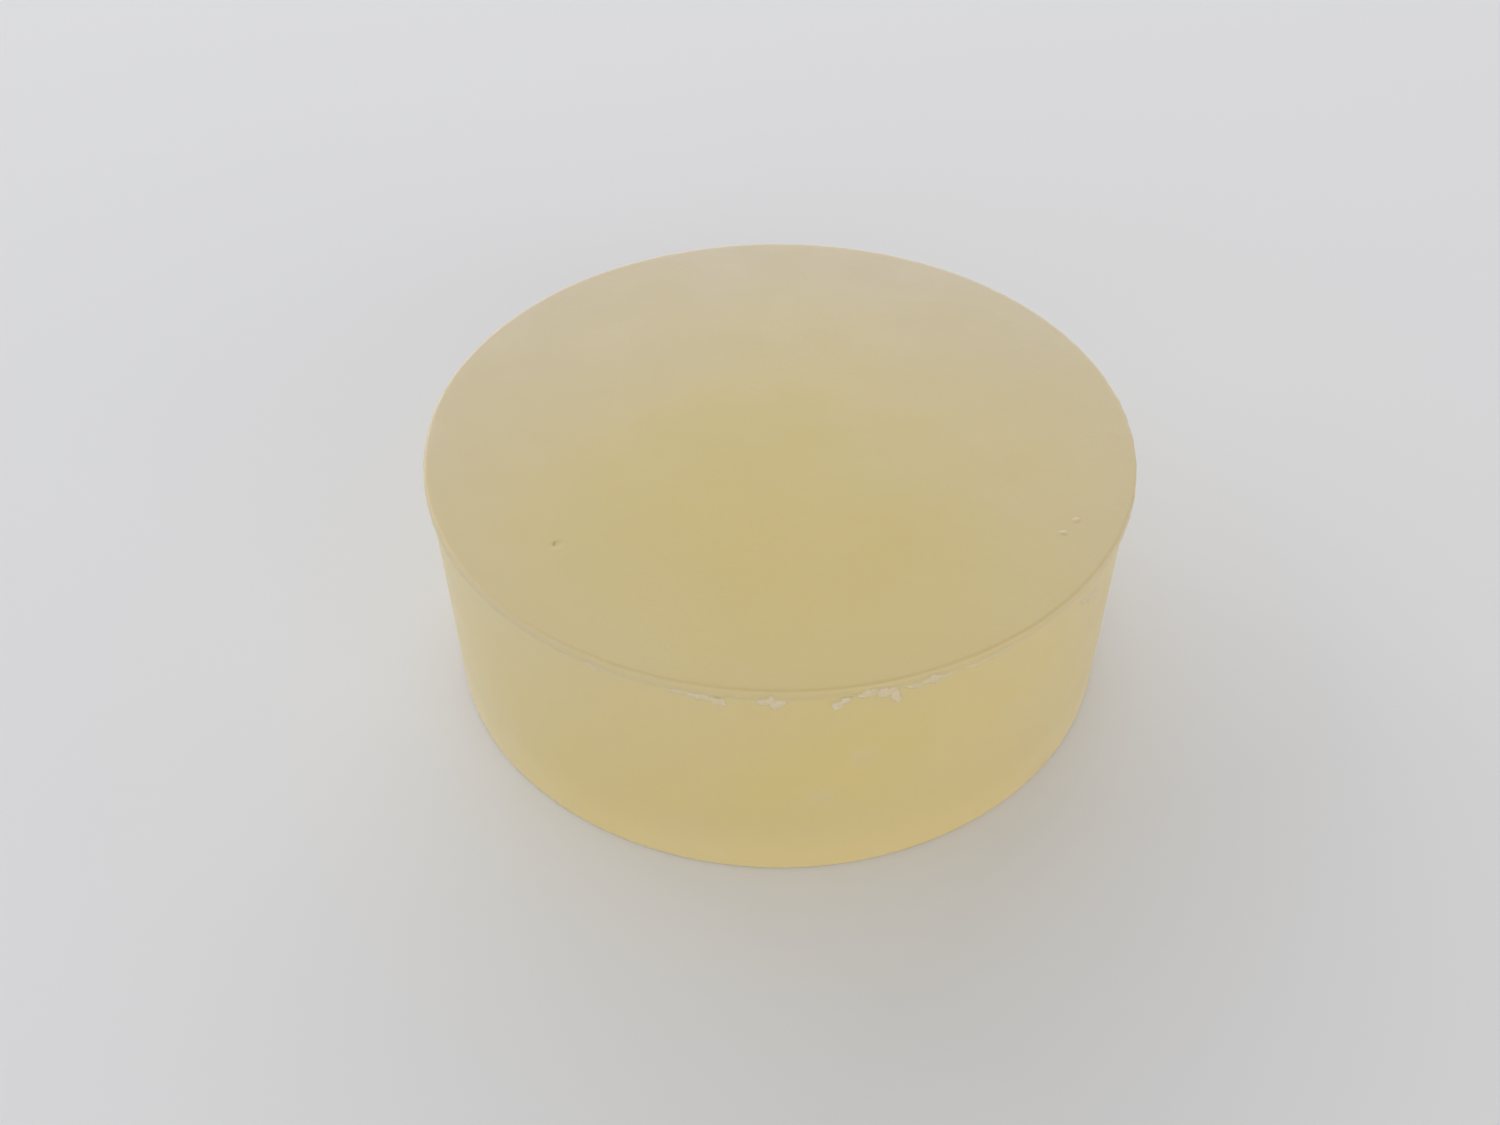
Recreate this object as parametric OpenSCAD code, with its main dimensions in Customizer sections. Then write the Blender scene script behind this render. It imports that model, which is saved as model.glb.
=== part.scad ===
// Shaving soap puck: one cast block of translucent glycerin soap, wider at the top than at the foot.
// The wall flares out under a shallow lip at the mould's mouth. A thin ring of flash sits under the
// lip, and torn slivers of it cling to the wall. A fibre fleck and two beads of dew lie on the top.
// Millimetres, +Z up, origin at the centre of the flat foot, front towards -Y.

/* [Puck] */
// Diameter over the rim flash
puck_d = 70; // [56:0.5:80]
// Height from the foot to the top face
puck_h = 25.4; // [18:0.1:32]
// Draft angle of the side wall, which lets the puck slide out of its mould
wall_draft = 2; // [0.5:0.25:5]
// Radius of the rounded edge round the foot
foot_round = 0.3; // [0.2:0.1:3]

/* [Lip] */
// Height of the lip, down from the top face
lip_h = 1.1; // [0.7:0.05:1.6]
// How far the lip stands out past the wall below it
lip_out = 0.2; // [0.1:0.02:0.6]
// Radius of the lip's top edge
lip_round = 0.25; // [0.1:0.05:0.5]
// Height of the flared band of wall under the lip
flare_h = 4.5; // [3:0.5:8]
// How far the flare leads the wall out, beyond its draft
flare_out = 0.25; // [0:0.05:0.6]

/* [Flash] */
// How far the flash stands out past the lip
flash_out = 0.12; // [0.04:0.02:0.3]
// Thickness of the flash where it meets the wall
flash_root = 0.3; // [0.15:0.05:0.5]
// Thickness of the flash at its outer edge
flash_edge = 0.1; // [0.06:0.02:0.14]
// Thickness of a torn sliver at its upper end
sliver_root = 0.2; // [0.15:0.01:0.3]
// Thickness of a torn sliver at its free end
sliver_tip = 0.12; // [0.08:0.01:0.14]

/* [Top marks] */
// Radius of the small pit in the top face
pit_r = 0.6; // [0.5:0.05:1]
// Depth of the pit
pit_depth = 0.2; // [0.1:0.05:0.4]
// Thickness of the curled dark fleck that lies in the pit
fleck_t = 0.2; // [0.12:0.01:0.3]
// Diameter of a dew bead where it meets the top face
bead_d = 1; // [0.6:0.1:2]
// Height of a dew bead
bead_h = 0.22; // [0.1:0.02:0.3]

/* [Hidden] */
$fn = 128;
small_fn = 32;                 // facets round a detail of about a millimetre or less

soap_colour = [0.78, 0.71, 0.51];
flash_colour = [0.80, 0.74, 0.57];
torn_colour = [0.86, 0.83, 0.74];
fleck_colour = [0.36, 0.30, 0.18];
dew_colour = [0.90, 0.88, 0.80];

flash_r = puck_d / 2;
lip_r = flash_r - flash_out;
land_r = lip_r - lip_out;      // the wall's radius where it meets the lip's underside
land_z = puck_h - lip_h;       // height of the lip's underside
flare_z = land_z - flare_h;    // where the flare begins
flare_r = land_r - flare_out - flare_h * tan(wall_draft);
pit_floor = puck_h - pit_depth;

// Each sliver: where it starts round the rim, how far round it runs (degrees from +X, so the front
// is -90), and how far it hangs below the flash (mm).
SLIVERS = [
    [-118, 4, 0.5],
    [-107, 10, 0.8],
    [-93, 6, 0.6],
    [-82, 3, 1.6],
    [-75, 3, 2.2],
    [-71, 6, 0.5],
    [-62, 8, 0.4],
    [-37, 6, 2]
];

// The fleck is a short curled fibre, half set into the floor of its pit.
fleck_at = [-20.3, -16.3];
fleck_bend_r = 0.32;           // radius of the curl, along its middle
fleck_start = 95;              // degrees
fleck_sweep = 130;             // degrees
fleck_sunk = 0.75;             // share of its thickness below the pit's floor

BEADS = [[27.8, -12.4], [26.4, -14.2]];
bead_ball_r = (pow(bead_d / 2, 2) + pow(bead_h, 2)) / (2 * bead_h);

// Radius of the side wall at a height: a steady draft, and a steeper cone for the flare.
function wall_r(z) = z < flare_z
    ? flare_r - (flare_z - z) * tan(wall_draft)
    : land_r - (land_z - z) * (land_r - flare_r) / flare_h;

// The rounding of the foot touches the flat foot and the drafted wall.
module body_outline() {
    foot_x = wall_r(foot_round) - foot_round / cos(wall_draft);
    lip_x = lip_r - lip_round;
    lip_z = puck_h - lip_round;
    polygon([
        [0, 0],
        [foot_x, 0],
        [foot_x + foot_round * cos(wall_draft), foot_round * (1 - sin(wall_draft))],
        [flare_r, flare_z],
        [land_r, land_z],
        [lip_r, land_z],
        [lip_r, lip_z],
        [lip_x, puck_h],
        [0, puck_h]
    ]);
    translate([foot_x, foot_round]) circle(r = foot_round);
    translate([lip_x, lip_z]) circle(r = lip_round, $fn = small_fn);
}

module flash_outline() {
    root_z = land_z - flash_root;
    polygon([
        [land_r, land_z],
        [wall_r(root_z), root_z],
        [flash_r, land_z - flash_edge],
        [flash_r, land_z]
    ]);
}

module sliver_outline(drop) {
    root_z = land_z - flash_root;
    tip_z = root_z - drop;
    polygon([
        [wall_r(tip_z), tip_z],
        [wall_r(tip_z) + sliver_tip, tip_z],
        [wall_r(root_z) + sliver_root, root_z],
        [wall_r(root_z), root_z]
    ]);
}

module fleck_shape() {
    translate([fleck_at[0], fleck_at[1], pit_floor + (0.5 - fleck_sunk) * fleck_t])
        rotate([0, 0, fleck_start])
            rotate_extrude(angle = fleck_sweep, $fn = small_fn)
                translate([fleck_bend_r, 0])
                    circle(d = fleck_t, $fn = small_fn);
}

module pit_shape() {
    translate([fleck_at[0], fleck_at[1], pit_floor])
        cylinder(r = pit_r, h = 2 * pit_depth, $fn = small_fn);
}

// A bead is the part of a ball that stands above the top face.
module bead_shape() {
    intersection() {
        translate([0, 0, bead_h - bead_ball_r]) sphere(r = bead_ball_r, $fn = small_fn);
        cylinder(d = 2 * bead_d, h = 2 * bead_h, $fn = small_fn);
    }
}

module soap_body() {
    color(soap_colour)
        difference() {
            rotate_extrude() body_outline();
            pit_shape();
            fleck_shape();
        }
}

module rim_flash() {
    color(flash_colour)
        rotate_extrude() flash_outline();
}

module torn_slivers() {
    color(torn_colour)
        for (s = SLIVERS)
            rotate([0, 0, s[0]])
                rotate_extrude(angle = s[1]) sliver_outline(s[2]);
}

module surface_fleck() {
    color(fleck_colour) fleck_shape();
}

module dew_beads() {
    color(dew_colour)
        for (at = BEADS)
            translate([at[0], at[1], puck_h]) bead_shape();
}

soap_body();
rim_flash();
torn_slivers();
surface_fleck();
dew_beads();
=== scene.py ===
"""Looks of the shaving soap puck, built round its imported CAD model. Metres, in the CAD frame."""

import math

import bmesh
import bpy
import numpy as np
from mathutils import Matrix, Vector, noise


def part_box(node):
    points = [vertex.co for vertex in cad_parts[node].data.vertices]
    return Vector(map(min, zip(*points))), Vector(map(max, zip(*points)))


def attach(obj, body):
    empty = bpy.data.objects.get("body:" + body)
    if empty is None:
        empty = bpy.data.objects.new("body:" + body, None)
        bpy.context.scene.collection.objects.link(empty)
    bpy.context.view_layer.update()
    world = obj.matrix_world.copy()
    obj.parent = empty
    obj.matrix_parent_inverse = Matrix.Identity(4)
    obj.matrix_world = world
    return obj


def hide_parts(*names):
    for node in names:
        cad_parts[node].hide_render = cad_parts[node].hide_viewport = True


MM = 0.001
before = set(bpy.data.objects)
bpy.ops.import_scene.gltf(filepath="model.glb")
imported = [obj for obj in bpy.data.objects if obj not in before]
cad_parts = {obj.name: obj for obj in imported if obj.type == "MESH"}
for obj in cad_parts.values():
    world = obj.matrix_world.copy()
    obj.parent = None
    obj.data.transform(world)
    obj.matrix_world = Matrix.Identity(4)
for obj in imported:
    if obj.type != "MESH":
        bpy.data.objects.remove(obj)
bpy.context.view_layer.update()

# Sizes as in the CAD model
WALL_DRAFT = math.radians(2)
FOOT_ROUND = 0.3 * MM
LIP_HEIGHT = 1.1 * MM
LIP_OUT = 0.2 * MM
FLARE_HEIGHT = 4.5 * MM
FLARE_OUT = 0.25 * MM
PIT_R = 0.6 * MM
FLECK_BEND = 0.32 * MM
FLECK_THICK = 0.2 * MM
BEAD_R = 0.5 * MM
BEAD_HEIGHT = 0.22 * MM

FLASH_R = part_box("rim_flash")[1].x
LIP_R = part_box("soap_body")[1].x
TOP_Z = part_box("soap_body")[1].z
LAND_Z = TOP_Z - LIP_HEIGHT  # the lip's underside
LAND_R = LIP_R - LIP_OUT
FLARE_Z = LAND_Z - FLARE_HEIGHT
FLARE_R = LAND_R - FLARE_OUT - FLARE_HEIGHT * math.tan(WALL_DRAFT)

# The visible mesh of the casting
GRID = 80  # half the squares along one side of the grid that fills the top
AROUND = 8 * GRID  # mesh columns round the wall
LIP_STEP = 0.5 * MM  # height over which the wall swells out into the lip
LIP_ROUND = 0.35 * MM  # the lip's top edge
TOP_SINK = 0.12 * MM  # how far the middle of the top sank as the soap cooled
PIT_DEPTH = 0.05 * MM
SIDE_WAVE = 0.035 * MM  # how far the side strays from round
LIP_RAGS = 0.02 * MM  # how ragged the lip is

# Low lumps in the wall and in the top: size, height, seed
WALL_LUMPS = [(9 * MM, 0.03 * MM, 2), (2.5 * MM, 0.012 * MM, 3)]
TOP_LUMPS = [(11 * MM, 0.03 * MM, 6), (3 * MM, 0.01 * MM, 7)]

# Places round the puck are degrees from the front, and grow towards +X.
# Where the lip fades out, and where it is most ragged: place, spread
LIP_FADE = (-72, 45)
LIP_RAGGED = (95, 28)

# Shallow dents in the wall: place, height, radius, depth
WALL_DENTS = [
    (13, 15.4 * MM, 1.3 * MM, 0.1 * MM),
    (7, 10.6 * MM, 1.0 * MM, 0.08 * MM),
    (-38, 12 * MM, 1.6 * MM, 0.07 * MM),
    (97, 14 * MM, 1.8 * MM, 0.09 * MM),
    (160, 9 * MM, 1.4 * MM, 0.08 * MM),
    (-121, 16 * MM, 1.2 * MM, 0.08 * MM),
]

# Chips out of the lip's lower edge: place, half width, height
LIP_CHIPS = [
    (12.3, 1.5 * MM, 0.6 * MM),
    (77, 1.1 * MM, 0.5 * MM),
    (91, 0.8 * MM, 0.4 * MM),
    (-142, 1.3 * MM, 0.5 * MM),
]

# Torn slivers: each is the route of its middle, as places round the puck and millimetres down
# from the top, with its width there in millimetres
SLIVERS = [
    [(-29.2, 1.15, 0.4), (-27.8, 1.25, 0.8), (-25.8, 1.3, 0.45), (-22.5, 1.25, 0.3)],
    [(-16.8, 1.2, 0.35), (-14, 1.3, 0.7), (-11, 1.5, 0.9), (-8.7, 1.85, 1.0), (-7.1, 2.2, 0.6)],
    [(-2.9, 1.35, 0.8), (-0.9, 1.5, 1.6), (1.6, 1.6, 1.1)],
    [(8.2, 2.9, 0.5), (9.0, 2.2, 1.1), (10.6, 1.5, 0.7)],
    [(11.4, 1.4, 0.6), (13.6, 1.15, 1.1), (15.4, 1.25, 1.5), (17.2, 2.1, 1.1), (17.8, 3.3, 0.5)],
    [(18.8, 1.5, 0.5), (21, 1.3, 1.1), (23.6, 1.2, 1.2), (25.8, 1.3, 0.6)],
    [(27.6, 1.35, 0.3), (30.5, 1.3, 0.5), (33.5, 1.2, 0.6), (36.4, 1.1, 0.8)],
    [(53, 2.6, 0.5), (56.5, 3.7, 1.2), (60.8, 5.1, 0.6)],
]
SLIVER_THICK = 0.09 * MM
SLIVER_TAPER = 0.35 * MM  # length of the taper at each end of a sliver
SLIVER_SUNK = 0.008 * MM  # how deep its thin edges sit in the wall
SLIVER_ROOT = 0.06 * MM  # how much deeper its underside sits

# The middle of the amber in the soap. Away from there the colour pales: partly painted sheen and light
# from behind, partly the soap's own cloudiness
AMBER_HEART = Vector((1, -16, 12)) * MM

# The fleck curls round the middle of its pit, and each bead touches a corner of the beads' box
fleck_reach = FLECK_BEND + FLECK_THICK / 2
pit_centre = Vector((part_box("surface_fleck")[0].x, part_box("surface_fleck")[1].y, TOP_Z))
pit_centre += Vector((fleck_reach, -fleck_reach, 0))
beads_low, beads_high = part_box("dew_beads")
BEAD_PLACES = [
    (beads_high.x - BEAD_R, beads_high.y - BEAD_R),
    (beads_low.x + BEAD_R, beads_low.y + BEAD_R),
]

# Soft boxes: name, turn and elevation in degrees, distance, width and height in metres, watts, colour.
# Turn 0 is behind the puck and 90 to its right.
LIGHTS = [
    ("window", -13, 20, 4.5, (7.8, 2.7), 167, (0.985, 1.0, 1.03)),
    ("left", -78, 27, 3.6, (3.6, 2.7), 28, (0.99, 1.0, 1.0)),
    ("front_left", -140, 10, 3.6, (3.6, 1.2), 17.5, (0.96, 1.0, 1.17)),
    ("front", 165, 20, 3.6, (5.1, 1.8), 44.5, (1.0, 1.0, 1.04)),
    ("front_right", 115, 10, 3.6, (3.6, 1.5), 17, (1.13, 1.0, 0.92)),
    ("right", 60, 20, 3.6, (3.0, 1.8), 9.5, (1.05, 1.0, 0.85)),
]
FLOOR_R = 1.0  # well short of the lights, near which the floor would glow


# ---------------------------------------------------------------- shape helpers


def turned(r, turn, z):
    """The point at this radius, turn in radians and height."""
    return r * math.cos(turn), r * math.sin(turn), z


def front_angle(place):
    """Radians from +X of a place given in degrees from the front."""
    return math.radians(place - 90)


def smooth_step(x):
    """From 0 to 1 as x goes from 0 to 1, with a soft start and end."""
    x = np.clip(x, 0, 1)
    return x * x * (3 - 2 * x)


def turn_gap(angle, middle):
    """The angle from middle to angle, from -pi to pi."""
    return (angle - middle + math.pi) % (2 * math.pi) - math.pi


def near_place(angle, place, spread):
    """1 at a place round the puck, fading out over the spread, both in degrees."""
    return np.exp(-((turn_gap(angle, front_angle(place)) / math.radians(spread)) ** 2))


def ring_noise(angle, waves, seed):
    """Smooth noise round the puck, about -1 to 1: sines with these counts of waves to a turn."""
    rng = np.random.default_rng(seed)
    total = np.zeros_like(angle)
    for count in waves:
        total += rng.uniform(0.5, 1) * np.sin(count * angle + rng.uniform(0, 2 * math.pi))
    return total / math.sqrt(len(waves))


def cloud_noise(points, size, seed):
    """Smooth noise in space, about -1 to 1, with lumps of this size."""
    shift = Vector((7.3, 3.1, 5.7)) * seed
    return np.array([noise.noise(Vector(point) / size + shift) for point in points])


def arc(centre, radius, start, end, steps):
    """Points (r, z) along an arc, its angles in degrees."""
    angles = np.radians(np.linspace(start, end, steps + 1))
    return [(centre[0] + radius * math.cos(a), centre[1] + radius * math.sin(a)) for a in angles]


def lip_share(z):
    """0 on the wall and 1 on the lip, with a soft step between them."""
    return smooth_step((z - LAND_Z) / LIP_STEP + 0.5)


def side_radius(z):
    """The side's radius at a height: a steady draft, a soft flare, and the lip on top of it."""
    wall_z = np.minimum(z, LAND_Z)
    rise = np.clip((wall_z - FLARE_Z) / FLARE_HEIGHT, 0, 1)
    wall_r = FLARE_R + (wall_z - FLARE_Z) * math.tan(WALL_DRAFT) + FLARE_OUT * rise**1.5
    return wall_r + LIP_OUT * lip_share(z)


def ring(r, z, count):
    """Points evenly round a level circle."""
    return [turned(r, 2 * math.pi * k / count, z) for k in range(count)]


def skin(rings, hoop=False, caps=True):
    """Points and faces of a tube through these rings: a hoop, or a tube with or without caps."""
    size, count = len(rings[0]), len(rings)
    points = [point for loop in rings for point in loop]
    faces = []
    for row in range(count if hoop else count - 1):
        low, high = row * size, (row + 1) % count * size
        for k in range(size):
            after = (k + 1) % size
            faces.append((low + k, low + after, high + after, high + k))
    if caps and not hoop:
        faces.append(tuple(range(size)))
        faces.append(tuple(range((count - 1) * size, count * size)))
    return points, faces


def join_skins(skins):
    """One list of points and one of faces, from several."""
    points, faces = [], []
    for more_points, more_faces in skins:
        faces += [tuple(k + len(points) for k in face) for face in more_faces]
        points += more_points
    return points, faces


def new_piece(name, points, faces, material):
    """A smooth mesh object with its normals facing out."""
    shape = bmesh.new()
    corners = [shape.verts.new(point) for point in points]
    for face in faces:
        shape.faces.new([corners[k] for k in face])
    bmesh.ops.recalc_face_normals(shape, faces=shape.faces)
    mesh = bpy.data.meshes.new(name)
    shape.to_mesh(mesh)
    shape.free()
    mesh.materials.append(material)
    mesh.shade_smooth()
    piece = bpy.data.objects.new(name, mesh)
    bpy.context.scene.collection.objects.link(piece)
    return piece


def place_piece(piece, node):
    """Weathers the piece; it rides on the puck's one body and stands for a CAD node."""
    points = np.array([vertex.co for vertex in piece.data.vertices])
    piece.data.vertices.foreach_set("co", weather(points).ravel())
    piece.data.update()
    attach(piece, "root")
    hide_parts(node)


# ---------------------------------------------------------------- the casting


def side_profile():
    """Points (r, z) from the flat foot, round its edge, up the wall and over the lip to the top."""
    foot_x = side_radius(FOOT_ROUND) - FOOT_ROUND / math.cos(WALL_DRAFT)
    points = [(share * foot_x, 0) for share in (0.05, 0.35, 0.7, 0.9)]
    points += arc((foot_x, FOOT_ROUND), FOOT_ROUND, -90, -math.degrees(WALL_DRAFT), 9)
    heights = [
        *np.linspace(1 * MM, FLARE_Z, 28),
        *np.linspace(FLARE_Z, LAND_Z - LIP_STEP, 12)[1:],
        *np.linspace(LAND_Z - LIP_STEP, LAND_Z + LIP_STEP, 17)[1:],
        *np.linspace(LAND_Z + LIP_STEP, TOP_Z - LIP_ROUND, 5)[1:-1],
    ]
    points += [(side_radius(z), z) for z in heights]
    points += arc((LIP_R - LIP_ROUND, TOP_Z - LIP_ROUND), LIP_ROUND, 0, 90, 7)
    return points


def fold_square(i, j):
    """Folds a square grid of -GRID to GRID into a disc: the share of the radius, and the turn."""
    if i == 0 and j == 0:
        return 0, 0
    if abs(i) > abs(j):
        reach, turn = i, math.pi / 4 * j / i
    else:
        reach, turn = j, math.pi / 2 - math.pi / 4 * i / j
    return abs(reach) / GRID, turn + (math.pi if reach < 0 else 0)


def fill_top(points, faces, rim_start):
    """Fills the last ring of the side, which starts at rim_start, with a folded square grid."""
    top_r = points[rim_start][0]
    width = 2 * GRID + 1
    index = []
    for j in range(-GRID, GRID + 1):
        for i in range(-GRID, GRID + 1):
            share, turn = fold_square(i, j)
            if share == 1:
                index.append(rim_start + round(turn / (2 * math.pi) * AROUND) % AROUND)
            else:
                index.append(len(points))
                points.append(turned(share * top_r, turn, TOP_Z))
    for j in range(width - 1):
        for i in range(width - 1):
            a = j * width + i
            quad = [index[a], index[a + 1], index[a + width + 1], index[a + width]]
            if i in (0, width - 2) and j in (0, width - 2):
                # a corner square has two edges along the rim, and is cut in two from its corner
                if i != j:
                    quad = quad[1:] + quad[:1]
                faces += [(quad[0], quad[1], quad[2]), (quad[0], quad[2], quad[3])]
            else:
                faces.append(tuple(quad))


def refine(piece, spots):
    """Splits the mesh's edges more finely near each spot, given as a point and a radius."""
    shape = bmesh.new()
    shape.from_mesh(piece.data)
    for centre, radius in spots:
        near = [e for e in shape.edges if all((v.co - centre).length < radius for v in e.verts)]
        bmesh.ops.subdivide_edges(shape, edges=near, cuts=3, use_grid_fill=True)
    # faces beside a split edge have extra corners; the flat foot's one big face is left alone
    many_sided = [face for face in shape.faces if 4 < len(face.verts) < 20]
    bmesh.ops.triangulate(shape, faces=many_sided)
    shape.to_mesh(piece.data)
    shape.free()


def weather(p):
    """Turns points on or near the ideal casting into a real one's: uneven, dented, chipped."""
    r = np.hypot(p[:, 0], p[:, 1])
    angle = np.arctan2(p[:, 1], p[:, 0])
    z = p[:, 2]
    # how much of what follows happens at each point, from 0 to 1
    on_side = smooth_step((r - 0.9 * FLARE_R) / (0.06 * FLARE_R))
    on_wall = on_side * smooth_step((z - 0.5 * MM) / (2 * MM))
    on_lip = on_side * lip_share(z)
    on_top = smooth_step((z - TOP_Z + 0.3 * MM) / (0.3 * MM))

    out = SIDE_WAVE * ring_noise(angle, (2, 3, 5), 1) * on_side
    for size, height, seed in WALL_LUMPS:
        out += height * cloud_noise(p, size, seed) * on_wall

    # the lip fades out on the left, and is ragged on the right
    ragged = ring_noise(angle, (31, 43, 58, 71), 4) + 0.6 * ring_noise(angle, (89, 107, 131), 5)
    out -= 0.7 * LIP_OUT * near_place(angle, *LIP_FADE) * on_lip
    out += LIP_RAGS * (0.4 + near_place(angle, *LIP_RAGGED)) * (ragged - 1.2) * on_lip

    for degrees, height, size, depth in WALL_DENTS:
        along = turn_gap(angle, front_angle(degrees)) * FLARE_R
        out -= depth * np.exp(-2 * (along**2 + (z - height) ** 2) / size**2) * on_wall
    for degrees, half_width, chip_height in LIP_CHIPS:
        along = turn_gap(angle, front_angle(degrees)) * LIP_R / half_width
        arch = np.sqrt(np.clip(1 - along**2, 0, 1)) * chip_height
        below = smooth_step((arch - (z - LAND_Z)) / (0.2 * MM))
        out -= LIP_OUT * 0.8 * below * on_lip

    # the top sank as it cooled, most in the middle, and a fibre left its pit there
    lift = -TOP_SINK * smooth_step(1.6 * (1 - np.clip(r / LIP_R, 0, 1) ** 2))
    for size, height, seed in TOP_LUMPS:
        lift += height * cloud_noise(p, size, seed)
    from_pit = np.hypot(p[:, 0] - pit_centre.x, p[:, 1] - pit_centre.y)
    lift -= PIT_DEPTH * smooth_step(1.3 - from_pit / PIT_R)
    scale = 1 + out / np.maximum(r, MM)
    return np.column_stack([p[:, 0] * scale, p[:, 1] * scale, z + lift * on_top])


def make_casting():
    """The side as a tube, the foot as one flat face, and the top as a grid."""
    points, faces = skin([ring(r, z, AROUND) for r, z in side_profile()], caps=False)
    faces.append(tuple(range(AROUND)))
    fill_top(points, faces, len(points) - AROUND)
    piece = new_piece("soap_puck", points, faces, soap_material())
    spots = [(pit_centre, 2 * PIT_R)]
    for degrees, half_width, _ in LIP_CHIPS:
        spots.append((Vector(turned(LIP_R, front_angle(degrees), LAND_Z)), half_width))
    refine(piece, spots)
    place_piece(piece, "soap_body")


# ---------------------------------------------------------------- flash and slivers


def make_flash():
    """A thin ragged burr under the lip, with stretches where almost none of it is left."""
    turns = np.linspace(0, 2 * math.pi, 960, endpoint=False)
    # how far it stands out and how far it hangs down, as shares of the most
    right = near_place(turns, 90, 30)
    patchy = ring_noise(turns, (5, 9, 14, 23), 11)
    reach = 0.12 + 0.3 * right + 0.12 * patchy + 0.1 * ring_noise(turns, (37, 61, 97, 140), 12)
    hang = 0.4 + 0.2 * patchy + 0.3 * ring_noise(turns, (43, 77, 119), 13)
    root_r = side_radius(LAND_Z)
    bite = 0.08 * MM  # how deep its root sits in the soap
    thick = 0.06 * MM  # at its outer edge
    rounding = 0.01 * MM
    least = 0.02 * MM  # how far it stands out where almost none is left
    rings = []
    for turn, share, drop in zip(turns, np.clip(reach, 0.02, 1), np.clip(hang, 0.1, 1)):
        edge_r = root_r + least + (FLASH_R - root_r - least) * share
        low_z = LAND_Z - (0.1 + 0.2 * drop) * MM
        section = [
            (root_r - bite, LAND_Z + bite),
            (side_radius(LAND_Z + thick), LAND_Z + thick),
            (edge_r - rounding, LAND_Z),
            (edge_r, LAND_Z - thick / 2),
            (edge_r - rounding, LAND_Z - thick),
            (side_radius(low_z) + rounding, low_z),
            (side_radius(low_z) - bite, low_z),
        ]
        rings.append([turned(r, turn, z) for r, z in section])
    piece = new_piece("rim_flash_ring", *skin(rings, hoop=True), flash_material())
    place_piece(piece, "rim_flash")


def smooth_route(route, steps):
    """Points along a Catmull-Rom curve through the route."""
    ends = [2 * route[0] - route[1], *route, 2 * route[-1] - route[-2]]
    points = []
    for a, b, c, d in zip(ends, ends[1:], ends[2:], ends[3:]):
        for t in np.linspace(0, 1, steps, endpoint=False):
            square = (2 * a - 5 * b + 4 * c - d) * t**2
            cube = (3 * b - a - 3 * c + d) * t**3
            points.append((2 * b + (c - a) * t + square + cube) / 2)
    return points + [route[-1]]


def sliver_rings(route, seed):
    """The rings of one ragged shred that lies flat on the wall and thins out to its edges."""
    rng = np.random.default_rng(seed)
    knots = [
        Vector((front_angle(place) * LIP_R, TOP_Z - down * MM, width * MM / 2))
        for place, down, width in route
    ]
    middle = smooth_route(knots, steps=24)
    lengths = [0] + [(b.xy - a.xy).length for a, b in zip(middle, middle[1:])]
    travel = np.cumsum(lengths)
    from_end = np.minimum(travel, travel[-1] - travel) / SLIVER_TAPER
    taper = 0.04 + 0.96 * np.sqrt(np.clip(from_end * (2 - np.clip(from_end, 0, 1)), 0, 1))
    # each edge wanders in waves, and the shorter the wave the less it does
    edges = []
    for _ in range(2):
        ragged = np.zeros_like(travel)
        for wave in (1.9 * MM, 0.8 * MM, 0.37 * MM, 0.21 * MM):
            ragged += (wave / MM) ** 0.8 * np.sin(2 * math.pi * (travel / wave + rng.uniform()))
        edges.append(taper * (1 + 0.2 * ragged))
    # across the shred: how far to a side, and how far out from its edges
    section = [(side, SLIVER_THICK * (1 - side**2) ** 1.4) for side in np.linspace(-1, 1, 9)]
    section += [(1, -SLIVER_ROOT), (0, -SLIVER_ROOT), (-1, -SLIVER_ROOT)]
    rings = []
    for k, spot in enumerate(middle):
        along = middle[min(k + 1, len(middle) - 1)].xy - middle[max(k - 1, 0)].xy
        across = Vector((along.y, -along.x)).normalized()
        outer, inner = edges[0][k] * spot.z, edges[1][k] * spot.z
        loop = []
        for side, lift in section:
            at = spot.xy + across * side * (outer if side > 0 else inner)
            r = side_radius(at.y) - SLIVER_SUNK + lift * taper[k]
            loop.append(turned(r, at.x / LIP_R, at.y))
        rings.append(loop)
    return rings


def make_slivers():
    skins = [skin(sliver_rings(route, seed)) for seed, route in enumerate(SLIVERS)]
    piece = new_piece("torn_sliver_shreds", *join_skins(skins), sliver_material())
    place_piece(piece, "torn_slivers")


# ---------------------------------------------------------------- fleck and dew


def make_fleck():
    """A curled fibre that tapers to both ends, one of them lifted out of the pit."""
    start, sweep = math.radians(128), math.radians(100)
    thickest = 0.3 * FLECK_THICK  # half its thickness in the middle
    rise = 0.05 * MM  # of the lifted end
    up = Vector((0, 0, 1))
    rings = []
    for share in np.linspace(0, 1, 29):
        turn = start + sweep * share
        outward = Vector((math.cos(turn), math.sin(turn), 0))
        spine = pit_centre + outward * FLECK_BEND
        spine.z = TOP_Z + 0.01 * MM + rise * share**2
        half = thickest * (0.25 + 0.75 * math.sin(math.pi * (0.08 + 0.84 * share)) ** 0.7)
        half *= 1 + 0.12 * math.sin(17 * share)
        turns = np.linspace(0, 2 * math.pi, 12, endpoint=False)
        rings.append([spine + (outward * math.cos(a) + up * math.sin(a)) * half for a in turns])
    piece = new_piece("fibre_fleck", *skin(rings), fibre_material())
    place_piece(piece, "surface_fleck")


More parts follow.
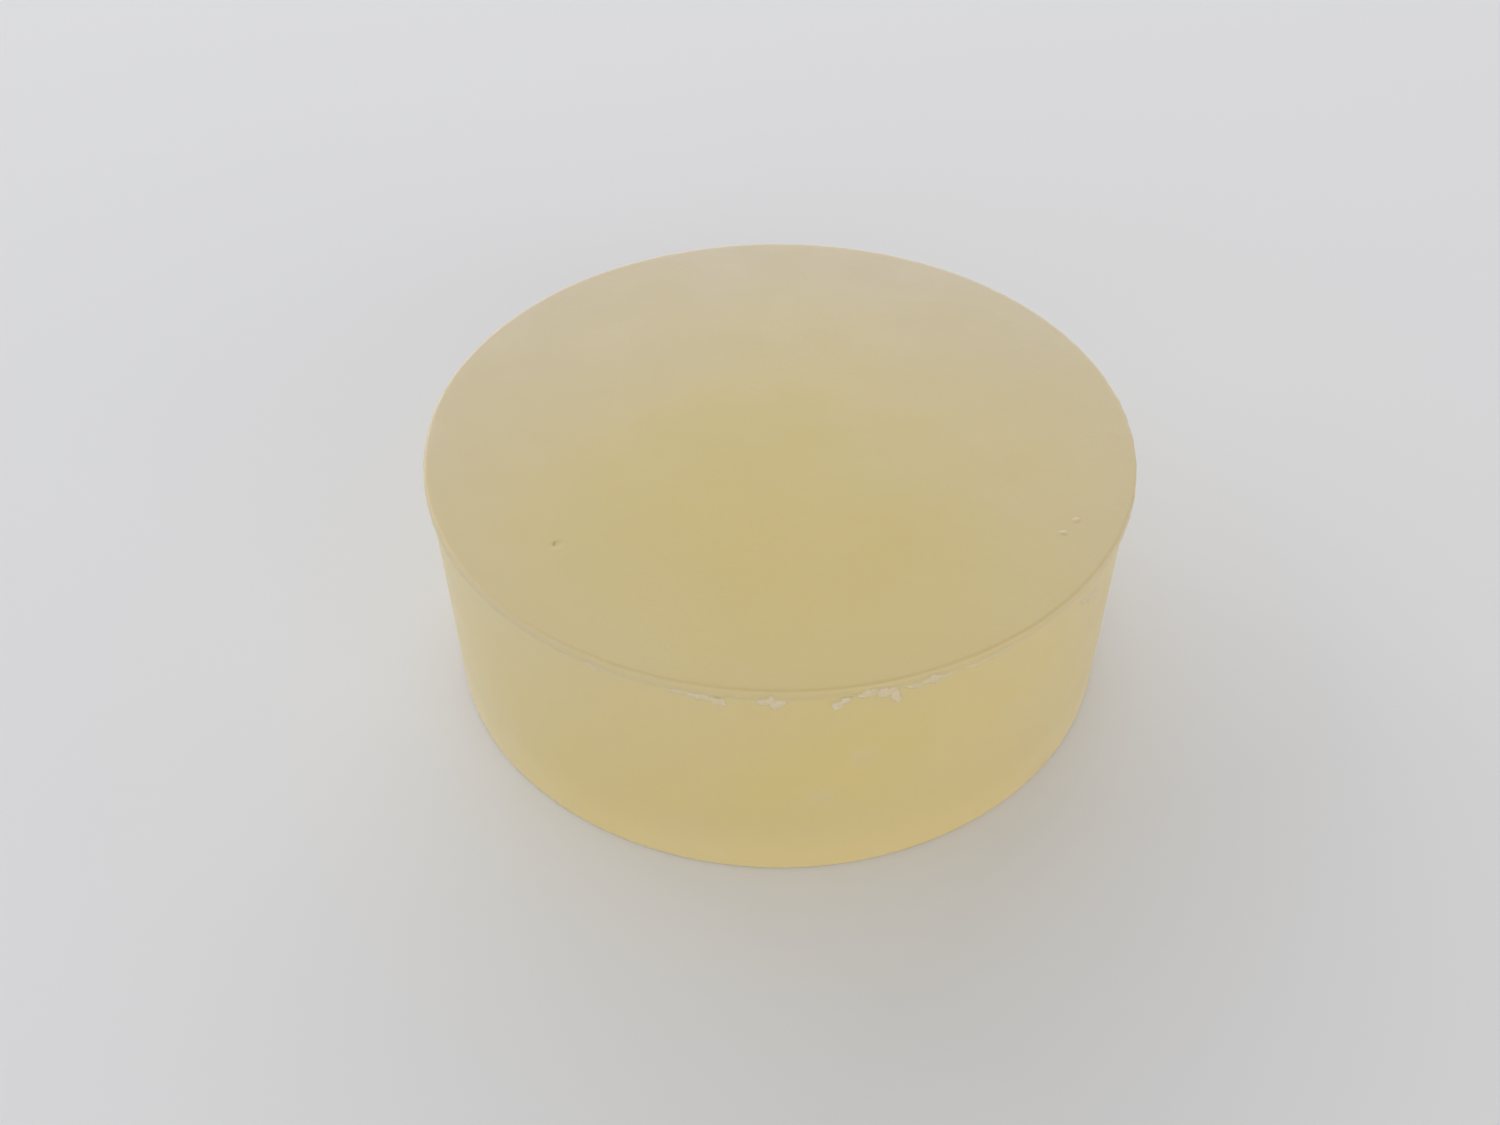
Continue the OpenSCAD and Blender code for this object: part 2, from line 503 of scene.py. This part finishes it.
def make_dew():
    """Low domes, a little out of round, that meet the soap at a fine angle."""
    height = 0.4 * BEAD_HEIGHT  # dew lies flatter than the CAD model has it
    root = 0.2 * MM  # how deep its underside sits in the soap
    skins = []
    for index, (x, y) in enumerate(BEAD_PLACES):
        rings = []
        for share in (1, *np.linspace(1, 0.04, 12)):
            loop = []
            for turn in np.linspace(0, 2 * math.pi, 40, endpoint=False):
                uneven = 1 + 0.06 * math.sin(2 * turn + 1.7 * index) + 0.03 * math.sin(3 * turn)
                r = 0.95 * BEAD_R * share * uneven
                z = TOP_Z - 0.01 * MM + height * (1 - share**2) ** 1.6
                loop.append((x + r * math.cos(turn), y + r * math.sin(turn), z))
            rings.append(loop)
        rings[0] = [(px, py, TOP_Z - root) for px, py, _ in rings[0]]
        skins.append(skin(rings))
    piece = new_piece("dew_domes", *join_skins(skins), dew_material())
    place_piece(piece, "dew_beads")


# ---------------------------------------------------------------- materials


def new_material(name):
    """A material with its node tree and its shader."""
    material = bpy.data.materials.new(name)
    material.use_nodes = True
    return material, material.node_tree, material.node_tree.nodes["Principled BSDF"]


def add_node(tree, kind, inputs=None, **settings):
    """A node with these settings, and with these fixed inputs."""
    node = tree.nodes.new(kind)
    for key, value in settings.items():
        setattr(node, key, value)
    for key, value in (inputs or {}).items():
        node.inputs[key].default_value = value
    return node


def own_place(tree):
    """Where a point is in the piece's own coordinates, which are the frame's."""
    return add_node(tree, "ShaderNodeTexCoord").outputs["Object"]


def noise_at(tree, size, detail=3.0, seed=0.0):
    """A noise texture on the piece's own coordinates, with lumps of this size."""
    inputs = {"Scale": 1 / size, "Detail": detail, "W": seed}
    texture = add_node(tree, "ShaderNodeTexNoise", inputs, noise_dimensions="4D")
    tree.links.new(own_place(tree), texture.inputs["Vector"])
    return texture.outputs["Fac"]


def remap(tree, value, from_low, from_high, to_low=0.0, to_high=1.0):
    """Turns one range of values into another, softly at its ends and held beyond them."""
    inputs = {"From Min": from_low, "From Max": from_high, "To Min": to_low, "To Max": to_high}
    node = add_node(tree, "ShaderNodeMapRange", inputs, interpolation_type="SMOOTHSTEP")
    tree.links.new(value, node.inputs["Value"])
    return node.outputs["Result"]


def combine(tree, operation, first, second):
    """The result of a Math node."""
    node = add_node(tree, "ShaderNodeMath", operation=operation)
    tree.links.new(first, node.inputs[0])
    tree.links.new(second, node.inputs[1])
    return node.outputs["Value"]


def vector_math(tree, operation, place, constant):
    """The outputs of a Vector Math node, of a place and a constant."""
    node = add_node(tree, "ShaderNodeVectorMath", operation=operation)
    tree.links.new(place, node.inputs[0])
    node.inputs[1].default_value = constant
    return node.outputs


def coordinates(tree, place):
    """X, Y and Z of a place."""
    node = add_node(tree, "ShaderNodeSeparateXYZ")
    tree.links.new(place, node.inputs["Vector"])
    return node.outputs


def colour_mixer(tree, share, blend):
    """The two colour inputs and the colour output of a Mix node."""
    node = add_node(tree, "ShaderNodeMix", data_type="RGBA", blend_type=blend)
    tree.links.new(share, node.inputs["Factor"])
    first, second = [socket for socket in node.inputs if socket.type == "RGBA"]
    result = next(socket for socket in node.outputs if socket.type == "RGBA")
    return first, second, result


def mix_colours(tree, share, start, end):
    """From the start colour to the end colour, as the share goes from 0 to 1."""
    first, second, result = colour_mixer(tree, share, "MIX")
    first.default_value = (*start, 1)
    second.default_value = (*end, 1)
    return result


def tinted(tree, share, colour, tint):
    """Multiplies a colour by the tint, as far as the share goes."""
    first, second, result = colour_mixer(tree, share, "MULTIPLY")
    tree.links.new(colour, first)
    second.default_value = (*tint, 1)
    return result


def add_bumps(tree, shader, *bumps):
    """Chains bumps onto the shader, each a height and how far it stands out."""
    target = shader.inputs["Normal"]
    for height, distance in bumps:
        bump = add_node(tree, "ShaderNodeBump", {"Strength": 1.0, "Distance": distance})
        tree.links.new(height, bump.inputs["Height"])
        tree.links.new(bump.outputs["Normal"], target)
        target = bump.inputs["Normal"]


def scatter_light(shader, radius, scale):
    """Lets light wander under the surface, as far as the scale and the radius for each colour say."""
    shader.subsurface_method = "RANDOM_WALK"
    shader.inputs["Subsurface Weight"].default_value = 1.0
    shader.inputs["Subsurface Radius"].default_value = radius
    shader.inputs["Subsurface Scale"].default_value = scale
    shader.inputs["IOR"].default_value = 1.47


def painted_sheen_and_clouds(tree, place):
    """Painted sheen and light from behind, as a share: 0 in the amber at the front, rising to 1 far
    from it but less behind, with the soap's own clouds in it.
    """
    from_heart = vector_math(tree, "DISTANCE", place, AMBER_HEART)["Value"]
    away = remap(tree, from_heart, 8 * MM, 56 * MM)
    clouds = remap(tree, noise_at(tree, 17 * MM, 2.0), 0.3, 0.7, -0.08, 0.08)
    at = coordinates(tree, place)
    # less pale on the back wall below the lip
    back = remap(tree, at["Y"], 0.0, 28 * MM, 0.0, 0.4)
    low = remap(tree, at["Z"], LAND_Z - 7 * MM, LAND_Z, 1.0, 0.0)
    behind = combine(tree, "MULTIPLY", back, low)
    return combine(tree, "SUBTRACT", combine(tree, "ADD", away, clouds), behind)


def lip_shade_and_foot_glow(tree, place):
    """Shares that are 1 on the lip, and 1 at the foot, and fade out softly from there: for painted
    shade on the lip and a painted glow at the foot.
    """
    level = vector_math(tree, "MULTIPLY", place, (1, 1, 0))["Vector"]
    radius = vector_math(tree, "DISTANCE", level, (0, 0, 0))["Value"]
    height = coordinates(tree, place)["Z"]
    outside = remap(tree, radius, LIP_R - 0.5 * MM, LIP_R - 0.1 * MM)
    above = remap(tree, height, LAND_Z - 0.5 * MM, LAND_Z + 0.2 * MM)
    foot = remap(tree, height, 0.3 * MM, 7 * MM, 1.0, 0.0)
    return combine(tree, "MULTIPLY", outside, above), foot


def pale_dents(tree, place):
    """A patchy share, up to 1 in the two dents on the front of the wall, which are made paler and
    bluer.
    """
    shares = []
    for degrees, height, size, _ in WALL_DENTS[:2]:
        middle = turned(side_radius(height), front_angle(degrees), height)
        gap = vector_math(tree, "DISTANCE", place, middle)["Value"]
        shares.append(remap(tree, gap, 0.2 * size, 1.5 * size, 1.0, 0.0))
    patchy = remap(tree, noise_at(tree, 0.7 * MM, 3.0, 5.0), 0.35, 0.6, 0.3, 1.0)
    return combine(tree, "MULTIPLY", combine(tree, "MAXIMUM", *shares), patchy)


def drag_marks(tree, place):
    """Faint upright streaks, as the mould leaves on the wall: noise stretched upwards."""
    width, length = 0.5 * MM, 9 * MM
    stretched = vector_math(tree, "MULTIPLY", place, (1 / width, 1 / width, 1 / length))["Vector"]
    texture = add_node(tree, "ShaderNodeTexNoise", {"Scale": 1.0, "Detail": 2.0})
    tree.links.new(stretched, texture.inputs["Vector"])
    return texture.outputs["Fac"]


def soap_material():
    """Cloudy glycerin soap: amber towards the front, and paler away from there, partly painted sheen
    and light from behind, partly its own cloudiness; with painted shade on the lip and a painted glow
    at the foot.
    """
    material, tree, shader = new_material("cloudy_glycerin_soap")
    place = own_place(tree)
    amber, cloudy_and_sheen = (0.646, 0.524, 0.214), (0.636, 0.544, 0.374)
    # painted sheen and light from behind: paler away from the front amber, with the soap's own clouds
    colour = mix_colours(tree, painted_sheen_and_clouds(tree, place), amber, cloudy_and_sheen)
    lip, foot = lip_shade_and_foot_glow(tree, place)
    # painted shade on the lip, which dims the bright line along its rounded edge
    colour = tinted(tree, lip, colour, (0.95, 0.96, 1.01))
    # painted glow at the foot, as of light through the soap
    colour = tinted(tree, foot, colour, (1.07, 1.07, 1.08))
    # paler and bluer in the two front dents
    colour = tinted(tree, pale_dents(tree, place), colour, (0.98, 1.02, 1.22))
    tree.links.new(colour, shader.inputs["Base Color"])
    satin = remap(tree, noise_at(tree, 6 * MM, 4.0, 1.0), 0.35, 0.65, 0.5, 0.6)
    tree.links.new(satin, shader.inputs["Roughness"])
    shader.inputs["Coat Weight"].default_value = 0.1
    shader.inputs["Coat Roughness"].default_value = 0.3
    scatter_light(shader, (1.0, 0.9, 0.9), 0.5 * MM)
    ripples = noise_at(tree, 2.2 * MM, 2.0, 2.0)
    grain = noise_at(tree, 0.35 * MM, 3.0, 3.0)
    marks = drag_marks(tree, place)
    add_bumps(tree, shader, (ripples, 0.04 * MM), (marks, 0.012 * MM), (grain, 0.01 * MM))
    return material


def flash_material():
    """The same soap with its painted sheen, and a little paler still: a painted glow of light through
    its thin edge.
    """
    material, tree, shader = new_material("thin_soap_flash")
    amber, cloudy_and_sheen = (0.63, 0.525, 0.25), (0.64, 0.555, 0.39)
    # painted glow through the thin edge, on top of the soap's painted sheen
    colour = mix_colours(tree, painted_sheen_and_clouds(tree, own_place(tree)), amber, cloudy_and_sheen)
    tree.links.new(colour, shader.inputs["Base Color"])
    shader.inputs["Roughness"].default_value = 0.42
    add_bumps(tree, shader, (noise_at(tree, 0.4 * MM), 0.02 * MM))
    return material


def sliver_material():
    """Torn soap, paler than the rest: partly milky along its tears, partly painted glints."""
    material, tree, shader = new_material("torn_soap")
    milky_and_glints = remap(tree, noise_at(tree, 0.6 * MM, 4.0), 0.35, 0.65)
    # milky tears and painted glints
    colour = mix_colours(tree, milky_and_glints, (0.63, 0.52, 0.3), (0.665, 0.57, 0.385))
    tree.links.new(colour, shader.inputs["Base Color"])
    shader.inputs["Roughness"].default_value = 0.5
    add_bumps(tree, shader, (noise_at(tree, 0.25 * MM, 4.0), 0.03 * MM))
    return material


def fibre_material():
    """A dry brown fibre, in lighter and darker bands."""
    material, tree, shader = new_material("dark_fibre")
    bands = remap(tree, noise_at(tree, 0.12 * MM), 0.35, 0.65)
    colour = mix_colours(tree, bands, (0.42, 0.33, 0.16), (0.54, 0.43, 0.22))
    tree.links.new(colour, shader.inputs["Base Color"])
    shader.inputs["Roughness"].default_value = 0.6
    add_bumps(tree, shader, (noise_at(tree, 0.05 * MM), 0.01 * MM))
    return material


def dew_material():
    """A drop of glycerin dew, which takes the soap's colour and shines a little more."""
    material, tree, shader = new_material("glycerin_dew")
    amber, pale = (0.635, 0.51, 0.275), (0.655, 0.53, 0.305)
    colour = mix_colours(tree, noise_at(tree, 0.8 * MM), amber, pale)
    tree.links.new(colour, shader.inputs["Base Color"])
    shader.inputs["Roughness"].default_value = 0.48
    add_bumps(tree, shader, (noise_at(tree, 0.5 * MM), 0.01 * MM))
    return material


# ---------------------------------------------------------------- stage


def make_camera():
    """Looks down at the puck's front, and leans over by a fraction of a degree."""
    top = Vector((0, 0, TOP_Z))
    elevation = math.radians(38.27)
    distance = 178.7 * MM
    view_width = math.radians(45)
    place = top + distance * Vector((0, -math.cos(elevation), math.sin(elevation)))
    aim = top + Vector((-2.5, -18.7, 0)) * MM
    data = bpy.data.cameras.new("camera")
    data.sensor_width = 36
    data.lens = data.sensor_width / 2 / math.tan(view_width / 2)
    data.clip_start = 0.01
    data.clip_end = 50
    camera = bpy.data.objects.new("camera", data)
    bpy.context.scene.collection.objects.link(camera)
    turn = (aim - place).to_track_quat("-Z", "Y").to_matrix().to_4x4()
    roll = Matrix.Rotation(math.radians(-0.3), 4, "Z")
    camera.matrix_world = Matrix.Translation(place) @ turn @ roll
    bpy.context.scene.camera = camera


def make_floor():
    """A pale disc, with the puck at its middle."""
    material, _, shader = new_material("pale_floor")
    shader.inputs["Base Color"].default_value = (0.78, 0.78, 0.79, 1)
    shader.inputs["Roughness"].default_value = 0.7
    edge = ring(FLOOR_R, 0, 128)
    new_piece("floor", edge, [tuple(range(len(edge)))], material)


def make_light(name, turn, elevation, distance, size, watts, colour):
    """A soft box that faces the puck."""
    a, e = math.radians(turn), math.radians(elevation)
    away = Vector((math.sin(a) * math.cos(e), math.cos(a) * math.cos(e), math.sin(e)))
    data = bpy.data.lights.new(name, "AREA")
    data.shape = "RECTANGLE"
    data.size, data.size_y = size
    data.energy = watts
    data.color = colour
    light = bpy.data.objects.new(name, data)
    facing = (-away).to_track_quat("-Z", "Y").to_matrix().to_4x4()
    light.matrix_world = Matrix.Translation(away * distance) @ facing
    light.visible_camera = False
    bpy.context.scene.collection.objects.link(light)


def make_room():
    """White light from every side, and a paler wall where the camera looks past the floor."""
    world = bpy.data.worlds.new("room")
    world.use_nodes = True
    tree = world.node_tree
    white_light = tree.nodes["Background"]
    white_light.inputs["Color"].default_value = (1, 1, 1, 1)
    white_light.inputs["Strength"].default_value = 0.425
    wall = add_node(tree, "ShaderNodeBackground", {"Color": (1, 1, 1, 1), "Strength": 0.72})
    camera_ray = add_node(tree, "ShaderNodeLightPath").outputs["Is Camera Ray"]
    either = add_node(tree, "ShaderNodeMixShader")
    tree.links.new(camera_ray, either.inputs["Fac"])
    tree.links.new(white_light.outputs["Background"], either.inputs[1])
    tree.links.new(wall.outputs["Background"], either.inputs[2])
    tree.links.new(either.outputs["Shader"], tree.nodes["World Output"].inputs["Surface"])
    bpy.context.scene.world = world


def make_lights():
    """A wide window behind the puck, and weaker boxes round it."""
    for light in LIGHTS:
        make_light(*light)


# ---------------------------------------------------------------- the scene

bpy.context.scene.view_settings.view_transform = "Standard"
make_camera()
make_floor()
make_room()
make_lights()
make_casting()
make_flash()
make_slivers()
make_fleck()
make_dew()
